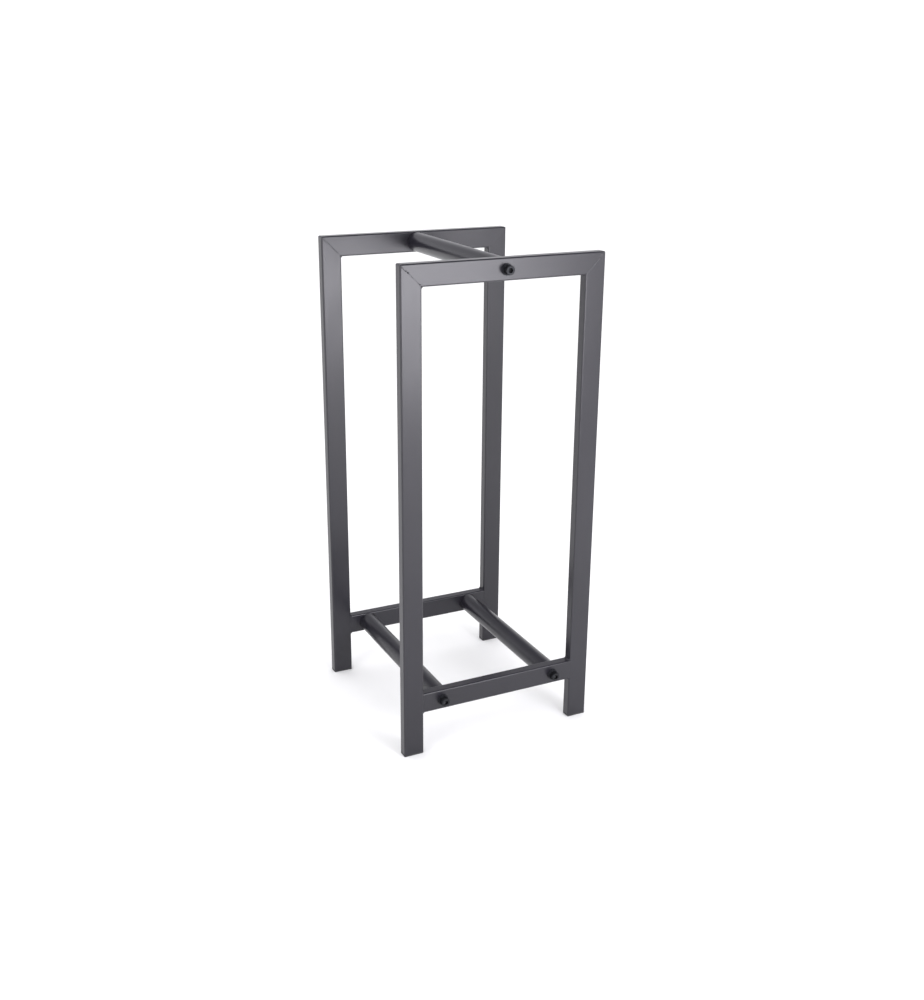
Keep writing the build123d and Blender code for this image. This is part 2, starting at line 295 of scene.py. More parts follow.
def black_oxide_steel(name, colour, roughness, edge_mm):
    """Hardened steel, blackened in a hot salt bath and oiled.

    The eye gets a cool near black with the blotchy sheen of the oil, and grey steel showing
    through on the rubbed edges.
    """
    material, tree, place = start_material(name)
    oil = add(tree, "ShaderNodeTexNoise", {
        "Vector": place, "Scale": per_mm(4), "Detail": 4.0, "Roughness": 0.6,
    })
    blotch = add(tree, "ShaderNodeMapRange", {
        "Value": oil.outputs["Fac"], "From Min": 0.35, "From Max": 0.65,
    })
    base = add(tree, "ShaderNodeMix", {
        MIX_FACTOR: blotch.outputs["Result"], MIX_A: shade(colour, 0.8), MIX_B: shade(colour, 1.7),
    }, data_type="RGBA")
    edged = add(tree, "ShaderNodeMix", {
        MIX_FACTOR: worn_edge(tree, place, edge_mm, 2.5, 0.35), MIX_A: base.outputs[MIX_RESULT],
        MIX_B: shade(colour, 5.0, 0.04),
    }, data_type="RGBA")
    rough = add(tree, "ShaderNodeMapRange", {
        "Value": blotch.outputs["Result"], "To Min": roughness - 0.05, "To Max": roughness + 0.10,
    })
    # The salt bath leaves a bloom of about 0.05 mm; it is drawn at 0.3 mm to show.
    bloom = add(tree, "ShaderNodeTexNoise", {"Vector": place, "Scale": per_mm(0.3), "Detail": 1.0})
    grit = add(tree, "ShaderNodeBump", {
        "Height": bloom.outputs["Fac"], "Strength": 0.35, "Distance": 0.015 * MM,
    })
    finish_material(tree, {
        "Base Color": edged.outputs[MIX_RESULT], "Metallic": 0.6,
        "Roughness": rough.outputs["Result"], "Normal": grit.outputs["Normal"],
    })
    return material


def zinc_plated_steel(name, colour):
    """Turned steel, bright zinc plated.

    The eye gets a bluish white metal with the fine rings of the lathe and duller patches where
    the plating has gone milky.
    """
    material, tree, place = start_material(name)
    milk = add(tree, "ShaderNodeTexNoise", {"Vector": place, "Scale": per_mm(6), "Detail": 3.0})
    milky = add(tree, "ShaderNodeMapRange", {
        "Value": milk.outputs["Fac"], "From Min": 0.40, "From Max": 0.65,
    })
    base = add(tree, "ShaderNodeMix", {
        MIX_FACTOR: milky.outputs["Result"], MIX_A: shade(colour, 1.0), MIX_B: shade(colour, 0.7),
    }, data_type="RGBA")
    rough = add(tree, "ShaderNodeMapRange", {
        "Value": milky.outputs["Result"], "To Min": 0.28, "To Max": 0.5,
    })
    # The feed of the lathe is about 0.15 mm a turn; a wave texture has 20 radians per unit.
    rings = add(tree, "ShaderNodeTexWave", {
        "Vector": place, "Scale": per_mm(0.15) * FULL_TURN / 20, "Distortion": 0.4,
    }, bands_direction="Y")
    turned = add(tree, "ShaderNodeBump", {
        "Height": rings.outputs["Fac"], "Strength": 0.2, "Distance": 0.01 * MM,
    })
    finish_material(tree, {
        "Base Color": base.outputs[MIX_RESULT], "Metallic": 1.0,
        "Roughness": rough.outputs["Result"], "Normal": turned.outputs["Normal"],
    })
    return material


def moulded_polyethylene(name, colour, roughness):
    """Black polyethylene, injection moulded in a spark eroded mould.

    The eye gets a matt, slightly waxy black with a fine even grain, greyed by scuffs where the
    foot slides on the floor.
    """
    material, tree, place = start_material(name)
    scuff = add(tree, "ShaderNodeTexNoise", {
        "Vector": place, "Scale": per_mm(6), "Detail": 5.0, "Roughness": 0.65,
    })
    scuffed = add(tree, "ShaderNodeMapRange", {
        "Value": scuff.outputs["Fac"], "From Min": 0.5, "From Max": 0.75, "To Max": 0.6,
    })
    base = add(tree, "ShaderNodeMix", {
        MIX_FACTOR: scuffed.outputs["Result"], MIX_A: shade(colour, 1.0),
        MIX_B: shade(colour, 2.0, 0.01),
    }, data_type="RGBA")
    rough = add(tree, "ShaderNodeMapRange", {
        "Value": scuffed.outputs["Result"], "To Min": roughness, "To Max": roughness + 0.15,
    })
    # The grain of a spark eroded mould is about 0.1 mm; it is drawn at 0.4 mm to show.
    spark = add(tree, "ShaderNodeTexNoise", {"Vector": place, "Scale": per_mm(0.4), "Detail": 1.0})
    grained = add(tree, "ShaderNodeBump", {
        "Height": spark.outputs["Fac"], "Strength": 0.4, "Distance": 0.02 * MM,
    })
    finish_material(tree, {
        "Base Color": base.outputs[MIX_RESULT], "Roughness": rough.outputs["Result"], "IOR": 1.51,
        "Normal": grained.outputs["Normal"],
    })
    return material


def studio_paper(name, colour):
    """Seamless background paper: matt, near white, very slightly cloudy."""
    material, tree, place = start_material(name)
    cloud = add(tree, "ShaderNodeTexNoise", {"Vector": place, "Scale": per_mm(700), "Detail": 2.0})
    base = add(tree, "ShaderNodeMix", {
        MIX_FACTOR: cloud.outputs["Fac"], MIX_A: shade(colour, 0.99), MIX_B: shade(colour, 1.0),
    }, data_type="RGBA")
    finish_material(
        tree,
        {"Base Color": base.outputs[MIX_RESULT], "Roughness": 0.9, "Specular IOR Level": 0.1},
    )
    return material


# ---------------------------------------------------------------- meshes


def rounded(outline, steps=3):
    """Radius and height points of an outline whose corners are cut back and rounded.

    Each entry is (radius, height, cut) in metres; a cut of 0 leaves the corner as it is.
    """
    points = []
    for k, (radius, height, cut) in enumerate(outline):
        corner = Vector((radius, height))
        if not cut:
            points.append(corner)
            continue
        before = Vector(outline[k - 1][:2]) - corner
        after = Vector(outline[(k + 1) % len(outline)][:2]) - corner
        start = corner + before.normalized() * cut
        end = corner + after.normalized() * cut
        for step in range(steps + 1):
            t = step / steps
            points.append(start * (1 - t) ** 2 + corner * 2 * t * (1 - t) + end * t ** 2)
    return points


def circle_ring(radius, height, count):
    """Points of a circle about the Z axis."""
    turns = [FULL_TURN * k / count for k in range(count)]
    return [Vector((radius * math.cos(t), radius * math.sin(t), height)) for t in turns]


def hexagon_ring(half_flats, height, count):
    """Points of a hexagon about the Z axis, at the same turns as a circle's."""
    side = FULL_TURN / 6
    points = []
    for k in range(count):
        turn = FULL_TURN * k / count
        radius = half_flats / math.cos(turn % side - side / 2)
        points.append(Vector((radius * math.cos(turn), radius * math.sin(turn), height)))
    return points


def skin(rings, closed_round=False):
    """Vertices and faces over rings of equal length: a closed round, or one with fans as ends."""
    count = len(rings[0])
    vertices = [point for ring in rings for point in ring]
    faces = []
    for row in range(len(rings) if closed_round else len(rings) - 1):
        low = row * count
        high = (row + 1) % len(rings) * count
        for k in range(count):
            after = (k + 1) % count
            faces.append((low + k, low + after, high + after, high + k))
    if not closed_round:
        for start in (0, (len(rings) - 1) * count):
            end_ring = vertices[start:start + count]
            hub = len(vertices)
            vertices.append(sum(end_ring, Vector()) / count)
            faces += [(start + k, start + (k + 1) % count, hub) for k in range(count)]
    return vertices, faces


def object_of(name, vertices, faces, sharp_degrees=40):
    """A mesh object, its faces outwards, smooth except over edges sharper than the angle."""
    mesh = bpy.data.meshes.new(name)
    mesh.from_pydata(vertices, [], faces)
    shape = bmesh.new()
    shape.from_mesh(mesh)
    bmesh.ops.recalc_face_normals(shape, faces=shape.faces)
    shape.to_mesh(mesh)
    shape.free()
    mesh.shade_smooth()
    mesh.set_sharp_from_angle(angle=math.radians(sharp_degrees))
    piece = bpy.data.objects.new(name, mesh)
    bpy.context.scene.collection.objects.link(piece)
    return piece


def outward_place(x, y, z, side):
    """Matrix that lays a piece made about the Z axis on a screw's axis, Z pointing outwards."""
    return Matrix(((1, 0, 0, x), (0, 0, side, y), (0, -side, 0, z), (0, 0, 0, 1)))


def screw_places():
    """Every screw axis: the name of its nodes, which way it faces, and its x and z."""
    for frame_name, side in FRAMES.items():
        for tube in TUBES:
            low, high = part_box(f"{frame_name}_{tube}_flat_washer")
            middle = (low + high) / 2
            yield f"{frame_name}_{tube}", side, middle.x, middle.z


def inner_face(node, side):
    """Height along Y of a fastener's face that looks into the rack."""
    low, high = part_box(node)
    return high.y if side < 0 else low.y


def thickness(node):
    """A fastener's size along Y."""
    low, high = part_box(node)
    return high.y - low.y


def dress(piece, material, slot, *nodes):
    """Finish a piece: its only material, its body, and the nodes that it stands for; its slot is
    not used.
    """
    piece.data.materials.clear()
    piece.data.materials.append(material)
    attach(piece, BODY)
    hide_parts(*nodes)


def repaint(names, material):
    """Give CAD nodes whose shape is right their finish."""
    for name in names:
        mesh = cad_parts[name].data
        mesh.materials.clear()
        mesh.materials.append(material)


# ---------------------------------------------------------------- geometry nodes


def start_group(name, sockets):
    """A Geometry Nodes tree with named inputs, each given as (socket type, default)."""
    tree = bpy.data.node_groups.new(name, "GeometryNodeTree")
    face = tree.interface
    face.new_socket("Geometry", in_out="INPUT", socket_type="NodeSocketGeometry")
    for key, (kind, default) in sockets.items():
        face.new_socket(key, in_out="INPUT", socket_type=kind).default_value = default
    face.new_socket("Geometry", in_out="OUTPUT", socket_type="NodeSocketGeometry")
    return tree, add(tree, "NodeGroupInput").outputs


def end_group(tree, shapes, material):
    """Join the shapes, make them real, and give them the material."""
    joined = add(tree, "GeometryNodeJoinGeometry")
    for shape in shapes:
        tree.links.new(shape, joined.inputs["Geometry"])
    real = add(tree, "GeometryNodeRealizeInstances", {"Geometry": joined.outputs["Geometry"]})
    painted = add(tree, "GeometryNodeSetMaterial", {
        "Geometry": real.outputs["Geometry"], "Material": material,
    })
    add(tree, "NodeGroupOutput", {"Geometry": painted.outputs["Geometry"]})
    return tree


def grow(piece, tree, values):
    """Run a tree on a piece once, and keep the result as the piece's plain mesh."""
    modifier = piece.modifiers.new(tree.name, "NODES")
    modifier.node_group = tree
    for item in tree.interface.items_tree:
        if item.in_out == "INPUT" and item.name in values:
            modifier[item.identifier] = values[item.name]
    graph = bpy.context.evaluated_depsgraph_get()
    mesh = bpy.data.meshes.new_from_object(piece.evaluated_get(graph))
    piece.modifiers.remove(modifier)
    old = piece.data
    piece.data = mesh
    bpy.data.meshes.remove(old)
    mesh.name = piece.name


def knurl_group(material):
    """Straight knurl: V-shaped ridges round the head of a screw."""
    tree, given = start_group(
        "Straight Knurl",
        {
            "Ridges": ("NodeSocketInt", 48),
            "Radius": ("NodeSocketFloat", 6 * MM),
            "Ridge Size": ("NodeSocketFloat", 0.4 * MM),
            "Length": ("NodeSocketFloat", 6 * MM),
            "Height": ("NodeSocketFloat", 4 * MM),
        },
    )
    circle = add(tree, "GeometryNodeMeshCircle", {
        "Vertices": given["Ridges"], "Radius": given["Radius"],
    })
    ridge = add(tree, "GeometryNodeMeshCylinder", {
        "Vertices": 4, "Radius": given["Ridge Size"], "Depth": given["Length"],
    })
    flat = add(tree, "GeometryNodeSetShadeSmooth", {
        "Geometry": ridge.outputs["Mesh"], "Shade Smooth": False,
    })
    apart = add(tree, "ShaderNodeMath", {0: FULL_TURN, 1: given["Ridges"]}, operation="DIVIDE")
    turn = add(tree, "ShaderNodeMath", {
        0: add(tree, "GeometryNodeInputIndex").outputs["Index"], 1: apart.outputs["Value"],
    }, operation="MULTIPLY")
    facing = add(tree, "FunctionNodeAxisAngleToRotation", {
        "Axis": (0, 0, 1), "Angle": turn.outputs["Value"],
    })
    ridges = add(tree, "GeometryNodeInstanceOnPoints", {
        "Points": circle.outputs["Mesh"], "Instance": flat.outputs["Geometry"],
        "Rotation": facing.outputs["Rotation"],
    })
    up = add(tree, "ShaderNodeCombineXYZ", {"Z": given["Height"]})
    raised = add(tree, "GeometryNodeTransform", {
        "Geometry": ridges.outputs["Instances"], "Translation": up.outputs["Vector"],
    })
    return end_group(tree, (raised.outputs["Geometry"], given["Geometry"]), material)


def thread_group(material):
    """Rolled screw thread: a ridge of pointed section wound round the shank."""
    tree, given = start_group(
        "Rolled Thread",
        {
            "Radius": ("NodeSocketFloat", 3.5 * MM),
            "Ridge Size": ("NodeSocketFloat", 0.45 * MM),
            "Turns": ("NodeSocketFloat", 20.0),
            "Length": ("NodeSocketFloat", 25 * MM),
            "Start": ("NodeSocketFloat", -29 * MM),
        },
    )
    spiral = add(tree, "GeometryNodeCurveSpiral", {
        "Resolution": 20, "Rotations": given["Turns"], "Start Radius": given["Radius"],
        "End Radius": given["Radius"], "Height": given["Length"],
    })
    upright = add(tree, "GeometryNodeSetCurveNormal", {
        "Curve": spiral.outputs["Curve"],
    }, mode="Z_UP")
    section = add(tree, "GeometryNodeCurvePrimitiveCircle", {
        "Resolution": 4, "Radius": given["Ridge Size"],
    })
    ridge = add(tree, "GeometryNodeCurveToMesh", {
        "Curve": upright.outputs["Curve"], "Profile Curve": section.outputs["Curve"],
        "Fill Caps": True,
    })
    flat = add(tree, "GeometryNodeSetShadeSmooth", {
        "Geometry": ridge.outputs["Mesh"], "Shade Smooth": False,
    })
    start = add(tree, "ShaderNodeCombineXYZ", {"Z": given["Start"]})
    placed = add(tree, "GeometryNodeTransform", {
        "Geometry": flat.outputs["Geometry"], "Translation": start.outputs["Vector"],
    })
    return end_group(tree, (placed.outputs["Geometry"], given["Geometry"]), material)


def bead_group(material):
    """Weld bead: overlapping drops of metal along an inside corner, a little uneven."""
    tree, given = start_group(
        "Weld Bead",
        {
            "First Drop": ("NodeSocketVector", (0, 0, 0)),
            "Step": ("NodeSocketVector", (0, MM, 0)),
            "Drops": ("NodeSocketInt", 11),
            "Drop Size": ("NodeSocketVector", (2 * MM, MM, MM)),
            "Lean": ("NodeSocketFloat", 0.0),
            "Seed": ("NodeSocketInt", 1),
        },
    )
    line = add(tree, "GeometryNodeMeshLine", {
        "Count": given["Drops"], "Start Location": given["First Drop"], "Offset": given["Step"],
    }, mode="OFFSET")
    drop = add(tree, "GeometryNodeMeshUVSphere", {"Segments": 16, "Rings": 8, "Radius": 1.0})
    wobble = add(tree, "FunctionNodeRandomValue", {
        "Min": (0.90, 0.94, 0.90), "Max": (1.04, 1.06, 1.05), "Seed": given["Seed"],
    }, data_type="FLOAT_VECTOR")
    size = add(tree, "ShaderNodeVectorMath", {
        0: given["Drop Size"], 1: wobble.outputs["Value"],
    }, operation="MULTIPLY")
    lean = add(tree, "FunctionNodeAxisAngleToRotation", {"Axis": (0, 1, 0), "Angle": given["Lean"]})
    drops = add(tree, "GeometryNodeInstanceOnPoints", {
        "Points": line.outputs["Mesh"], "Instance": drop.outputs["Mesh"],
        "Rotation": lean.outputs["Rotation"], "Scale": size.outputs["Vector"],
    })
    return end_group(tree, (drops.outputs["Instances"], given["Geometry"]), material)


# ---------------------------------------------------------------- pieces


def screw_blank(settings):
    """Vertices and faces of a cap screw without its knurl and thread, its seat at height 0."""
    radius = settings.head_diameter / 2
    body = radius - settings.knurl_depth * 1.4
    top = settings.head_height
    core = settings.thread_diameter / 2 - 0.6 * settings.thread_pitch
    tip = -settings.shank_length
    neck = settings.thread_diameter / 2
    outline = [
        (core - 0.5 * MM, tip, 0.1 * MM),
        (core, tip + 0.7 * MM, 0.1 * MM),
        (core, -2.6 * MM, 0),
        (neck, -2.2 * MM, 0.1 * MM),
        (neck, 0, 0),
        (radius - 0.4 * MM, 0, 0),
        (body, 0.35 * MM, 0.1 * MM),
        (body, top - 0.6 * MM - settings.knurl_depth, 0.15 * MM),
        (radius - 0.85 * MM, top, 0.25 * MM),
    ]
    count = 48
    rings = [circle_ring(r, height, count) for r, height in rounded(outline + [(0, top, 0)])[:-1]]
    flats = settings.hex_across_flats / 2
    floor = top - settings.hex_depth
    rings.append(circle_ring(flats * 1.30, top, count))
    # The mouth of the socket is countersunk a little by the punch.
    rings.append(hexagon_ring(flats * 1.06, top - 0.02 * MM, count))
    rings.append(hexagon_ring(flats * 1.01, top - 0.10 * MM, count))
    rings.append(hexagon_ring(flats, top - 0.25 * MM, count))
    rings.append(hexagon_ring(flats, floor + 0.05 * MM, count))
    rings.append(hexagon_ring(flats * 0.96, floor, count))
    rings.append(circle_ring(flats * 0.5, floor - 0.7 * MM, count))
    rings.append(circle_ring(flats * 0.08, floor - 1.3 * MM, count))
    return skin(rings)


def flat_ring(bore_radius, outer_radius, height, cuts):
    """A washer's section as rings: bore foot, outer foot, outer top and bore top."""
    corners = (
        (bore_radius, 0, cuts[0]),
        (outer_radius, 0, cuts[1]),
        (outer_radius, height, cuts[2]),
        (bore_radius, height, cuts[3]),
    )
    return rounded(corners)


def split_ring(bore_radius, outer_radius, height, gap, gap_angle, steps=72):
    """Vertices and faces of a spring washer pressed flat, its slanted split on the X axis."""
    section = flat_ring(bore_radius, outer_radius, height, [0.2 * MM] * 4)
    middle = (bore_radius + outer_radius) / 2
    half_gap = gap / 2 / math.cos(gap_angle)
    rings = []
    for step in range(steps + 1):
        ring = []
        for radius, z in section:
            centre = -(z - height / 2) * math.tan(gap_angle)
            start = (centre + half_gap) / middle
            end = FULL_TURN + (centre - half_gap) / middle
            turn = start + (end - start) * step / steps
            ring.append(Vector((radius * math.cos(turn), radius * math.sin(turn), z)))
        rings.append(ring)
    return skin(rings)


def tube_round(wide, narrow, radius, step):
    """Points and outward directions round a flat tube's section, about its centre."""
    arc_steps = 6
    loop = []
    for k, (right, up) in enumerate(((1, 1), (-1, 1), (-1, -1), (1, -1))):
        centre = Vector((right * (wide / 2 - radius), up * (narrow / 2 - radius)))
        for j in range(arc_steps + 1):
            turn = FULL_TURN * (k + j / arc_steps) / 4
            way = Vector((math.cos(turn), math.sin(turn)))
            loop.append((centre + way * radius, way))
        corner, way = loop[-1]
        along = Vector((-way.y, way.x))
        length = (narrow if k % 2 else wide) - 2 * radius
        count = round(length / step)
        loop += [(corner + along * length * j / count, way) for j in range(1, count)]
    return loop


def pinholes(seed, half_length, count):
    """Places along and across a seam, sizes and depths of a few pits, the same for one seed."""
    draw = random.Random(seed)
    return [
        (
            draw.uniform(-half_length, half_length),
            draw.uniform(-0.8, 0.8) * MM,
            draw.uniform(0.45, 0.95) * MM,
            draw.uniform(0.25, 0.5) * MM,
        )
        for _ in range(count)
    ]


def seam_depth(along, across, holes, groove, line_at, line_half_width, seed):
    """How far a ground seam's surface lies under the tube's face at a place on the seam."""
    place = Vector((along, across, seed * 10 * MM))
    waves = noise.noise(place / (2.5 * MM))
    ripple = noise.noise(place / (4 * MM) + Vector((7, 3, 1)))
    line = math.exp(-(((across - line_at) / line_half_width) ** 2)) * max(0.1, 0.7 + 1.2 * ripple)
    depth = (0.014 + 0.008 * waves) * MM + groove * line
    for middle, aside, size, deep in holes:
        far = ((along - middle) ** 2 + (across - aside) ** 2) / size ** 2
        depth += deep * math.exp(-far * 2)
    return max(depth, 0.006 * MM)


def smooth_step(value, low, high):
    """0 below the low value, 1 above the high one, and smooth in between."""
    t = min(1.0, max(0.0, (value - low) / (high - low)))
    return t * t * (3 - 2 * t)


def mitre_seam(side, frame_side, settings, seed):
    """Vertices and faces of the weld all round a mitre: ground faces, rounded outer corner."""
    half_width = settings.mitre_width / 2 + 0.15 * MM
    columns = [-half_width + 2 * half_width * k / 18 for k in range(19)]
    slant = math.sqrt(2)
    half_length = slant * TUBE_WIDE / 2
    holes = {way: pinholes(f"mitre {seed} {way}", half_length - 3 * MM, 2) for way in (-1, 1)}
    if seed == FIRST_MITRE:
        holes[1] = [[value * MM for value in pit] for pit in FIRST_MITRE_PITS]
    bend = MM if seed % 2 else -MM
    rings = []
    for point, way in tube_round(TUBE_WIDE, TUBE_NARROW, TUBE_CORNER, 0.3 * MM):
        face_side = round(way.y)
        ring = []
        # The seam swings aside near the outer corner and fades towards the inner one.
        along = slant * point.x
        from_corner = along + half_length
        swing = noise.noise(Vector((from_corner / (9 * MM), seed, face_side)))
        line_at = 0.6 * MM * swing - bend * (1 - smooth_step(from_corner, 9 * MM, 14 * MM))
        fade = smooth_step(from_corner, 0.3 * half_length, 2 * half_length)
        faded = settings.groove * (1 - 0.5 * fade)
        for across in columns + [half_width, -half_width]:
            inside = len(ring) >= len(columns)
            depth = 0.015 * MM
            if abs(way.y) > 0.99:
                pits = holes[face_side]
                depth = seam_depth(along, across, pits, faded, line_at, 0.32 * MM, seed)
                rim = smooth_step(abs(across), 0.55 * half_width, 0.9 * half_width)
                depth += (0.012 * MM - depth) * rim
            if inside:
                depth = settings.depth
            place = point - way * depth
            near = TUBE_WIDE / 2 + place.x
            far = near + slant * abs(across)
            right, down = (near, far) if across < 0 else (far, near)
            right, down = round_corner(right, down, OUTER_CORNER, depth)
            x = side * (CAD_HIGH.x - right)
            y = frame_side * (FRAME_Y + place.y)
            ring.append(Vector((x, y, CAD_HIGH.z - down)))
        rings.append(ring)
    return skin(rings, closed_round=True)


def round_corner(right, down, radius, depth):
    """A place near a frame's outer corner, pulled in to the rounding of the corner."""
    if right >= radius or down >= radius:
        return right, down
    away = Vector((radius - right, radius - down))
    if away.length > radius - depth:
        away *= (radius - depth) / away.length
    return radius - away.x, radius - away.y


def butt_seam(side, frame_side, settings, seed):
    """Vertices and faces of the weld round a lower rail's end, against the leg's rounded edge."""
    start = -2.3 * MM
    end = settings.butt_width + 0.15 * MM
    columns = [start + (end - start) * k / 12 for k in range(13)]
    holes = {way: pinholes(f"butt {seed} {way}", 13 * MM, 2) for way in (-1, 1)}
    rings = []
    for point, way in tube_round(TUBE_WIDE, TUBE_NARROW, TUBE_CORNER, 0.3 * MM):
        face_side = round(way.y)
        ring = []
        for across in columns + [end, start]:
            inside = len(ring) >= len(columns)
            depth = 0.02 * MM
            if abs(way.y) > 0.99:
                pits = holes[face_side]
                depth = settings.recess
                depth += seam_depth(point.x, across, pits, settings.groove / 2, 0, MM, seed)
            if inside:
                depth = settings.depth
            place = point - way * depth
            x = side * (INNER_X - across)
            y = frame_side * (FRAME_Y + place.y)
            ring.append(Vector((x, y, LOWER_RAIL_Z + place.x)))
        rings.append(ring)
    return skin(rings, closed_round=True)


def lay_bead(piece, tree, settings, side, frame_side, corner_z, up, seed):
    """Lay a bead in the inside corner between a leg and a rail, opening up or down."""
    half = TUBE_NARROW / 2 - TUBE_CORNER
    count = max(2, round(2 * half / settings.ripple_pitch))
    off = settings.bead_leg * 0.14
    x = side * (INNER_X - off)
    start = frame_side * FRAME_Y - half + half / count
    grow(piece, tree, {
        "First Drop": (x, start, corner_z + up * off), "Step": (0.0, 2 * half / count, 0.0),
        "Drops": count,
        "Drop Size": (
            settings.bead_leg * 0.97,
            settings.ripple_pitch * 0.95,
            settings.bead_leg * 0.62,
        ),
        "Lean": -up * side * math.radians(45), "Seed": seed,
    })


def cove(name, radius, sweep_radius, height):
    """Round studio floor whose edge sweeps up into a wall."""
    profile = [(radius * k / 8, 0) for k in range(1, 9)]
    for k in range(1, 13):
        turn = FULL_TURN / 4 * k / 12
        across = radius + sweep_radius * math.sin(turn)
        profile.append((across, sweep_radius * (1 - math.cos(turn))))
    profile.append((radius + sweep_radius, height))
    rings = [circle_ring(across, up, 128) for across, up in profile]
    vertices = [Vector((0, 0, 0))] + [point for ring in rings for point in ring]
    faces = [(0, 1 + k, 1 + (k + 1) % 128) for k in range(128)]
    for row in range(len(rings) - 1):
        low = 1 + row * 128
        for k in range(128):
            after = (k + 1) % 128
            faces.append((low + k, low + 128 + k, low + 128 + after, low + after))
    mesh = bpy.data.meshes.new(name)
    mesh.from_pydata(vertices, [], faces)
    mesh.shade_smooth()
    floor = bpy.data.objects.new(name, mesh)
    bpy.context.scene.collection.objects.link(floor)
    return floor


def softbox(name, place, target, width, height, power, colour):
    """A soft rectangular light that the camera doesn't see."""
    light = bpy.data.lights.new(name, "AREA")
    light.shape = "RECTANGLE"
    light.size = width
    light.size_y = height
    light.energy = power
    light.color = colour
    lamp = bpy.data.objects.new(name, light)
    lamp.location = place
    lamp.rotation_euler = (Vector(target) - Vector(place)).to_track_quat("-Z", "Y").to_euler()
    lamp.visible_camera = False
    bpy.context.scene.collection.objects.link(lamp)
    return lamp


# ---------------------------------------------------------------- settings


def colour_setting(name, description, hex_colour):
    """A property that holds a colour, given as sRGB hex."""
    return bpy.props.FloatVectorProperty(
        name=name, description=description, subtype="COLOR", size=3, min=0, max=1,
        default=linear(hex_colour),
    )


def length_setting(name, description, default, precision=5, **limits):
    """A property that holds a length in metres."""
    return bpy.props.FloatProperty(
        name=name, description=description, unit="LENGTH", precision=precision,
        default=default, **limits,
    )


def angle_setting(name, description, degrees):
    """A property that holds an angle, given in degrees."""
    return bpy.props.FloatProperty(
        name=name, description=description, subtype="ANGLE", default=math.radians(degrees)
    )


class RackCoatSettings(bpy.types.PropertyGroup):
    """Powder coat of the frames and the cross tubes"""

    colour: colour_setting("Coat Colour", "Colour of the powder coat", "1f1e24")
    roughness: bpy.props.FloatProperty(
        name="Roughness",
        description="How wide the sheen of the coat is",
        subtype="FACTOR",
        min=0.1,
        max=0.9,
        default=0.30,
    )
    peel_depth: length_setting(
        "Peel Depth", "Depth of the orange peel in the coat", 0.005 * MM, precision=6, min=0
    )
    edge_wear: bpy.props.FloatProperty(
        name="Edge Wear",
        description="How pale the rubbed edges are",
        subtype="FACTOR",
        min=0,
        max=1,
        default=0.18,
    )


class RackScrewSettings(bpy.types.PropertyGroup):
    """M8 socket head cap screws"""

    colour: colour_setting("Steel Colour", "Colour of the blackened steel", "1c1d20")
    head_diameter: length_setting(
        "Head Diameter", "Diameter over the knurl", SCREW_HIGH.x - SCREW_LOW.x
    )
    head_height: length_setting(
        "Head Height", "Height of the head above the washers", SCREW_HIGH.y - SPRING_HIGH.y
    )
    shank_length: length_setting(
        "Shank Length", "Length of the screw below its head", SPRING_HIGH.y - SCREW_LOW.y
    )
    thread_diameter: length_setting("Thread Diameter", "Diameter over the thread", 7.92 * MM)
    thread_pitch: length_setting("Thread Pitch", "Rise of the thread in one turn", 1.25 * MM)
    hex_across_flats: length_setting(
        "Hex Size", "Width of the hexagon socket across its flats", 6 * MM
    )
    hex_depth: length_setting("Hex Depth", "Depth of the hexagon socket", 4 * MM)
    knurl_depth: length_setting(
        "Knurl Depth", "How far the ridges of the knurl stand out", 0.28 * MM, precision=6
    )
    knurl_ridges: bpy.props.IntProperty(
        name="Knurl Ridges",
        description="Number of ridges round the head",
        min=12,
        max=90,
        default=48,
    )


class RackWasherSettings(bpy.types.PropertyGroup):
    """Flat washers and spring washers"""

    colour: colour_setting("Washer Colour", "Colour of the blackened washers", "1f2024")
    flat_diameter: length_setting(
        "Flat Washer Diameter", "Outer diameter of a flat washer", FLAT_HIGH.x - FLAT_LOW.x
    )
    flat_bore: length_setting("Flat Washer Bore", "Diameter of a flat washer's hole", 8.4 * MM)
    spring_diameter: length_setting(
        "Spring Washer Diameter", "Outer diameter of a spring washer", SPRING_HIGH.z - SPRING_LOW.z
    )
    spring_bore: length_setting("Spring Washer Bore", "Inner diameter of a spring washer", 8.1 * MM)
    split_gap: length_setting("Split Gap", "Width of the split in a spring washer", 1 * MM)
    split_angle: angle_setting("Split Slant", "How far the split leans from the screw's axis", 30)


class RackWeldSettings(bpy.types.PropertyGroup):
    """Welds at the corners of the frames, under the coat"""

    mitre_width: length_setting(
        "Mitre Weld Width", "Width of the ground weld along a mitre", 3 * MM
    )
    butt_width: length_setting(
        "Butt Weld Width", "How far the weld reaches onto a lower rail", 0.8 * MM
    )
    depth: length_setting("Weld Depth", "How deep the weld goes into the tube's wall", 1.05 * MM)
    groove: length_setting(
        "Seam Groove", "Depth of the faint line left along the middle of a seam", 0.13 * MM,
        precision=6,
    )
    recess: length_setting(
        "Butt Weld Recess", "How far a butt weld's face lies under the rail's face", 0.10 * MM,
        precision=6,
    )
    bead_leg: length_setting("Bead Leg", "Size of the bead in an inside corner", 2.5 * MM)
    ripple_pitch: length_setting("Ripple Pitch", "Distance between the ripples of a bead", 1.1 * MM)


class RackInnerSettings(bpy.types.PropertyGroup):
    """Foot end caps and threaded plugs"""

    cap_colour: colour_setting(
        "End Cap Colour", "Colour of the moulded end caps in the feet", "2a2a2c"
    )
    zinc_colour: colour_setting(
        "Zinc Colour", "Colour of the plated plugs in the cross tubes", "b9bdc2"
    )


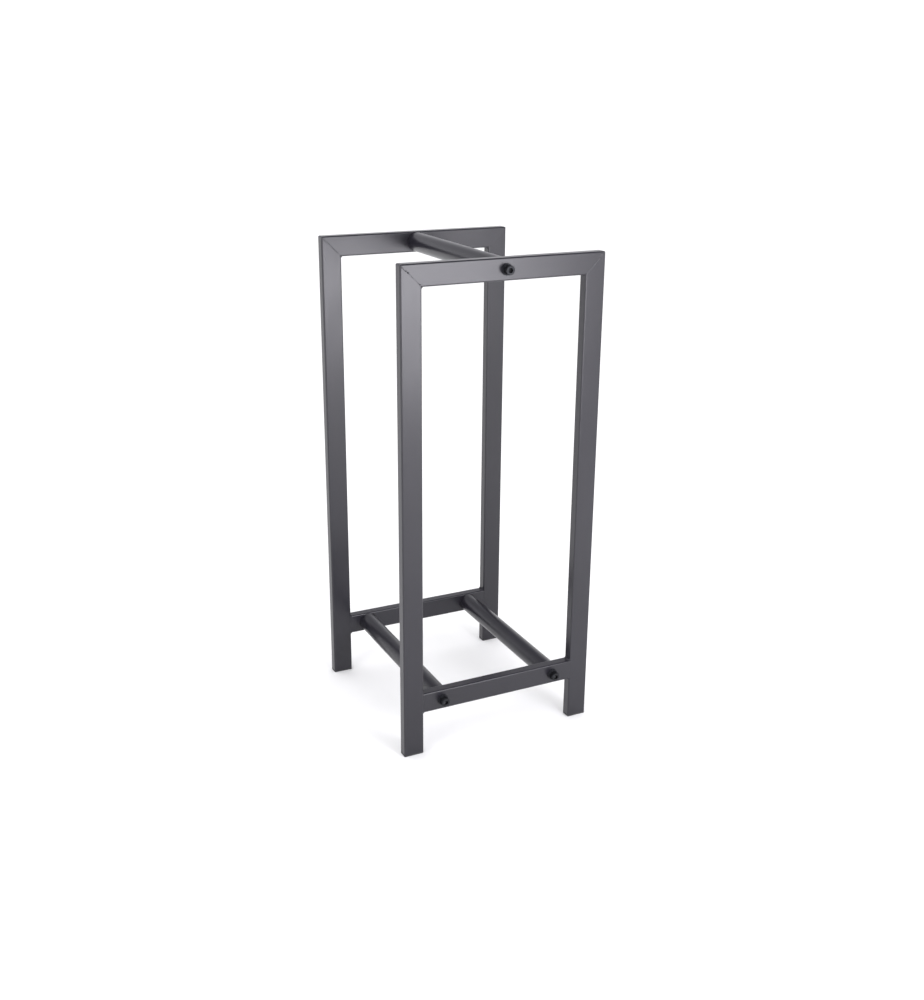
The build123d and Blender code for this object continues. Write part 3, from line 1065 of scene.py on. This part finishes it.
class RackStageSettings(bpy.types.PropertyGroup):
    """Floor, lights and camera of the studio"""

    floor_colour: colour_setting("Floor Colour", "Colour of the background paper", "f2f2f2")
    front_power: bpy.props.FloatProperty(
        name="Front Softbox",
        description="Power of the softbox in front",
        unit="POWER",
        default=17.0,
    )
    left_power: bpy.props.FloatProperty(
        name="Left Softbox",
        description="Power of the softbox on the left",
        unit="POWER",
        default=15.0,
    )
    top_power: bpy.props.FloatProperty(
        name="Top Softbox",
        description="Power of the softbox overhead",
        unit="POWER",
        default=770,
    )
    horizon_level: bpy.props.FloatProperty(
        name="Horizon Level",
        description="Brightness of the room near the horizon",
        default=1.15,
    )
    zenith_level: bpy.props.FloatProperty(
        name="Zenith Level",
        description="Brightness of the room overhead",
        default=0.25,
    )
    lens: bpy.props.FloatProperty(
        name="Lens",
        description="Focal length in millimetres on a 36 mm sensor",
        default=43.41,
    )
    azimuth: angle_setting("Azimuth", "Turn of the camera round the rack", -26.18)
    elevation: angle_setting("Elevation", "Height of the camera above the horizon", 19.70)
    roll: angle_setting("Roll", "Turn of the camera about its own axis", 0.44)
    distance: bpy.props.FloatProperty(
        name="Distance",
        description="Distance from the camera to the point it looks at",
        unit="LENGTH",
        default=1.7957,
    )
    aim: bpy.props.FloatVectorProperty(
        name="Aim",
        description="Point that the camera looks at, from the middle of the rack",
        subtype="XYZ",
        unit="LENGTH",
        precision=5,
        default=(5.4 * MM, -13.2 * MM, -26.5 * MM),
    )


# ---------------------------------------------------------------- operators


def material_once(name, make, *details):
    """A material by its name, made the first time that it is asked for."""
    return bpy.data.materials.get(name) or make(name, *details)


class RACK_OT_frames(bpy.types.Operator):
    """Coat the legs and rails of both frames"""

    bl_idname = "rack.frames"
    bl_label = "Coat Frames"

    def execute(self, context):
        coat = context.scene.rack_coat
        upright = material_once("Satin powder coat on legs", satin_powder_coat, coat, (1, 1, 0.4))
        level = material_once("Satin powder coat on rails", satin_powder_coat, coat, (0.4, 1, 1))
        for frame_name in FRAMES:
            repaint([f"{frame_name}_{side}_leg" for side in SIDES], upright)
            repaint([f"{frame_name}_top_rail", f"{frame_name}_lower_rail"], level)
        return {"FINISHED"}


class RACK_OT_cross_tubes(bpy.types.Operator):
    """Coat the three round cross tubes"""

    bl_idname = "rack.cross_tubes"
    bl_label = "Coat Cross Tubes"

    def execute(self, context):
        coat = context.scene.rack_coat
        name = "Satin powder coat on cross tubes"
        material = material_once(name, satin_powder_coat, coat, (1, 0.4, 1))
        repaint([f"{tube}_cross_tube" for tube in TUBES], material)
        return {"FINISHED"}


class RACK_OT_end_caps(bpy.types.Operator):
    """Finish the moulded end caps in the feet"""

    bl_idname = "rack.end_caps"
    bl_label = "Finish End Caps"

    def execute(self, context):
        colour = context.scene.rack_inner.cap_colour
        material = material_once("Moulded polyethylene", moulded_polyethylene, colour, 0.55)
        repaint([f"{f}_{s}_foot_end_cap" for f in FRAMES for s in SIDES], material)
        return {"FINISHED"}


class RACK_OT_plugs(bpy.types.Operator):
    """Finish the threaded plugs inside the cross tubes"""

    bl_idname = "rack.plugs"
    bl_label = "Finish Threaded Plugs"

    def execute(self, context):
        colour = context.scene.rack_inner.zinc_colour
        material = material_once("Zinc plated turned steel", zinc_plated_steel, colour)
        repaint([f"{f}_{tube}_threaded_plug" for f in FRAMES for tube in TUBES], material)
        return {"FINISHED"}


class RACK_OT_cap_screws(bpy.types.Operator):
    """Make the six socket head cap screws with knurl, hexagon socket and thread"""

    bl_idname = "rack.cap_screws"
    bl_label = "Make Cap Screws"

    def execute(self, context):
        size = context.scene.rack_screw
        steel = material_once(
            "Black oxide steel of screws", black_oxide_steel, size.colour, *SCREW_FINISH
        )
        knurl = knurl_group(steel)
        thread = thread_group(steel)
        pitch = size.thread_pitch
        thread_ridge = 0.42 * pitch
        knurl_ridge = 1.5 * size.knurl_depth
        thread_length = size.shank_length - 4 * MM
        ridges_bottom = 0.5 * MM
        ridges_top = size.head_height - 0.85 * MM
        for prefix, side, x, z in screw_places():
            node = f"{prefix}_cap_screw"
            piece = object_of(f"{prefix}_socket_screw", *screw_blank(size))
            grow(piece, knurl, {
                "Ridges": size.knurl_ridges,
                "Radius": size.head_diameter / 2 - knurl_ridge,
                "Ridge Size": knurl_ridge, "Length": ridges_top - ridges_bottom,
                "Height": (ridges_top + ridges_bottom) / 2,
            })
            grow(piece, thread, {
                "Radius": size.thread_diameter / 2 - thread_ridge, "Ridge Size": thread_ridge,
                "Turns": thread_length / pitch, "Length": thread_length,
                "Start": 1.2 * MM - size.shank_length,
            })
            seat = side * abs(inner_face(f"{prefix}_spring_washer", side))
            seat += side * thickness(f"{prefix}_spring_washer")
            piece.data.transform(outward_place(x, seat, z, side))
            dress(piece, steel, "black_oxide", node)
        return {"FINISHED"}


class RACK_OT_flat_washers(bpy.types.Operator):
    """Make the six flat washers with their die rolled edge"""

    bl_idname = "rack.flat_washers"
    bl_label = "Make Flat Washers"

    def execute(self, context):
        size = context.scene.rack_washer
        steel = material_once(
            "Black oxide steel of washers", black_oxide_steel, size.colour, *WASHER_FINISH
        )
        cuts = (0.05 * MM, 0.08 * MM, 0.35 * MM, 0.2 * MM)
        for prefix, side, x, z in screw_places():
            node = f"{prefix}_flat_washer"
            section = flat_ring(size.flat_bore / 2, size.flat_diameter / 2, thickness(node), cuts)
            rings = [circle_ring(radius, height, 96) for radius, height in section]
            piece = object_of(f"{prefix}_plain_washer", *skin(rings, closed_round=True))
            piece.data.transform(outward_place(x, inner_face(node, side), z, side))
            dress(piece, steel, "black_oxide", node)
        return {"FINISHED"}


class RACK_OT_spring_washers(bpy.types.Operator):
    """Make the six split spring washers"""

    bl_idname = "rack.spring_washers"
    bl_label = "Make Spring Washers"

    def execute(self, context):
        size = context.scene.rack_washer
        steel = material_once(
            "Black oxide steel of washers", black_oxide_steel, size.colour, *WASHER_FINISH
        )
        for prefix, side, x, z in screw_places():
            node = f"{prefix}_spring_washer"
            shape = split_ring(
                size.spring_bore / 2,
                size.spring_diameter / 2,
                thickness(node),
                size.split_gap,
                size.split_angle,
            )
            piece = object_of(f"{prefix}_split_washer", *shape)
            piece.data.transform(outward_place(x, inner_face(node, side), z, side))
            dress(piece, steel, "black_oxide", node)
        return {"FINISHED"}


class RACK_OT_upper_welds(bpy.types.Operator):
    """Make the ground welds of the four mitres, with a bead in each inside corner"""

    bl_idname = "rack.upper_welds"
    bl_label = "Make Upper Welds"

    def execute(self, context):
        weld = context.scene.rack_weld
        coat = material_once(
            "Powder coat over ground weld", coat_over_weld, context.scene.rack_coat
        )
        bead = bead_group(coat)
        seed = FIRST_MITRE
        for frame_name, frame_side in FRAMES.items():
            for side_name, side in SIDES.items():
                place = f"{frame_name}_{side_name}"
                shape = mitre_seam(side, frame_side, weld, seed)
                piece = object_of(f"{place}_mitre_weld", *shape, sharp_degrees=60)
                lay_bead(piece, bead, weld, side, frame_side, TOP_RAIL_UNDERSIDE, -1, seed)
                dress(piece, coat, "coated_weld", f"{place}_upper_weld")
                seed += 1
        return {"FINISHED"}


class RACK_OT_lower_welds(bpy.types.Operator):
    """Make the welds at the ends of both lower rails, with a bead above and below"""

    bl_idname = "rack.lower_welds"
    bl_label = "Make Lower Welds"

    def execute(self, context):
        weld = context.scene.rack_weld
        coat = material_once(
            "Powder coat over ground weld", coat_over_weld, context.scene.rack_coat
        )
        bead = bead_group(coat)
        seed = FIRST_BUTT
        for frame_name, frame_side in FRAMES.items():
            for side_name, side in SIDES.items():
                place = f"{frame_name}_{side_name}"
                shape = butt_seam(side, frame_side, weld, seed)
                piece = object_of(f"{place}_butt_weld", *shape, sharp_degrees=60)
                lay_bead(piece, bead, weld, side, frame_side, RAIL_HIGH.z, 1, seed)
                lay_bead(piece, bead, weld, side, frame_side, RAIL_LOW.z, -1, seed + SECOND_BEAD)
                dress(piece, coat, "coated_weld", f"{place}_lower_weld")
                seed += 1
        return {"FINISHED"}


def light_room(settings):
    """Even light from all round, bright near the horizon and dimmer overhead."""
    world = bpy.data.worlds.new("Studio Room")
    world.use_nodes = True
    tree = world.node_tree
    tree.nodes.clear()
    way = add(tree, "ShaderNodeTexCoord").outputs["Generated"]
    height = add(tree, "ShaderNodeSeparateXYZ", {"Vector": way}).outputs["Z"]
    level = add(tree, "ShaderNodeMapRange", {
        "Value": height, "From Min": 0.10, "From Max": 0.75, "To Min": settings.horizon_level,
        "To Max": settings.zenith_level,
    }, interpolation_type="SMOOTHSTEP")
    room = add(tree, "ShaderNodeBackground", {
        "Color": (0.985, 0.98, 1.03, 1.0), "Strength": level.outputs["Result"],
    })
    add(tree, "ShaderNodeOutputWorld", {"Surface": room.outputs["Background"]})
    bpy.context.scene.world = world


def place_camera(settings):
    """The camera at its viewing angle, as the scene's camera."""
    azimuth = settings.azimuth
    elevation = settings.elevation
    right = Vector((math.cos(azimuth), math.sin(azimuth), 0))
    back = Vector(
        (
            math.sin(azimuth) * math.cos(elevation),
            -math.cos(azimuth) * math.cos(elevation),
            math.sin(elevation),
        )
    )
    up = back.cross(right)
    rolled_right = right * math.cos(settings.roll) + up * math.sin(settings.roll)
    rolled_up = up * math.cos(settings.roll) - right * math.sin(settings.roll)
    place = CENTRE + Vector(settings.aim) + back * settings.distance
    data = bpy.data.cameras.new("Studio Camera")
    data.lens = settings.lens
    data.sensor_width = 36
    camera = bpy.data.objects.new("Studio Camera", data)
    turned = Matrix((rolled_right, rolled_up, back)).transposed().to_4x4()
    camera.matrix_world = Matrix.Translation(place) @ turned
    bpy.context.scene.collection.objects.link(camera)
    bpy.context.scene.camera = camera


class RACK_OT_stage(bpy.types.Operator):
    """Lay the pale floor, and set the lights and the camera"""

    bl_idname = "rack.stage"
    bl_label = "Set Stage"

    def execute(self, context):
        studio = context.scene.rack_stage
        floor = cove("Studio_Floor", 6.0, 1.5, 1.6)
        floor.data.materials.append(
            material_once("Seamless studio paper", studio_paper, studio.floor_colour)
        )
        softbox(
            "Front Softbox", (0.44, -1.45, 0.60), (0.44, 0.0, 0.60), 0.68, 0.80,
            studio.front_power, (1.0, 0.985, 1.05),
        )
        softbox(
            "Left Softbox", (-1.80, -0.90, 0.50), (0.0, 0.0, 0.50), 0.80, 1.50,
            studio.left_power, (1.0, 0.985, 1.03),
        )
        top = softbox(
            "Top Softbox", (0.0, 2.5, 5.0), (0.0, 2.5, 0.0), 14.0, 14.0,
            studio.top_power, (1.0, 1.0, 1.0),
        )
        top.visible_glossy = False
        light_room(studio)
        context.scene.view_settings.view_transform = "Standard"
        place_camera(studio)
        return {"FINISHED"}


# ---------------------------------------------------------------- panel


OPERATORS = (
    RACK_OT_frames,
    RACK_OT_cross_tubes,
    RACK_OT_end_caps,
    RACK_OT_plugs,
    RACK_OT_cap_screws,
    RACK_OT_flat_washers,
    RACK_OT_spring_washers,
    RACK_OT_upper_welds,
    RACK_OT_lower_welds,
    RACK_OT_stage,
)
SETTINGS = {
    "rack_coat": RackCoatSettings,
    "rack_screw": RackScrewSettings,
    "rack_washer": RackWasherSettings,
    "rack_weld": RackWeldSettings,
    "rack_inner": RackInnerSettings,
    "rack_stage": RackStageSettings,
}


class RACK_PT_panel(bpy.types.Panel):
    """Settings and steps of the log rack"""

    bl_idname = "RACK_PT_panel"
    bl_label = "Firewood Log Rack"
    bl_space_type = "VIEW_3D"
    bl_region_type = "UI"
    bl_category = "Log Rack"

    def draw(self, context):
        for name, group in SETTINGS.items():
            box = self.layout.box()
            box.label(text=group.__doc__)
            for key in group.__annotations__:
                box.prop(getattr(context.scene, name), key)
        for operator in OPERATORS:
            self.layout.operator(operator.bl_idname)


def register():
    for group in SETTINGS.values():
        bpy.utils.register_class(group)
    for name, group in SETTINGS.items():
        setattr(bpy.types.Scene, name, bpy.props.PointerProperty(type=group))
    for operator in OPERATORS:
        bpy.utils.register_class(operator)
    bpy.utils.register_class(RACK_PT_panel)


def unregister():
    bpy.utils.unregister_class(RACK_PT_panel)
    for operator in reversed(OPERATORS):
        bpy.utils.unregister_class(operator)
    for name, group in reversed(SETTINGS.items()):
        delattr(bpy.types.Scene, name)
        bpy.utils.unregister_class(group)


def main():
    """Build the rack piece by piece."""
    register()
    bpy.ops.rack.frames()
    bpy.ops.rack.cross_tubes()
    bpy.ops.rack.end_caps()
    bpy.ops.rack.plugs()
    bpy.ops.rack.cap_screws()
    bpy.ops.rack.flat_washers()
    bpy.ops.rack.spring_washers()
    bpy.ops.rack.upper_welds()
    bpy.ops.rack.lower_welds()
    bpy.ops.rack.stage()


if __name__ == "__main__":
    main()
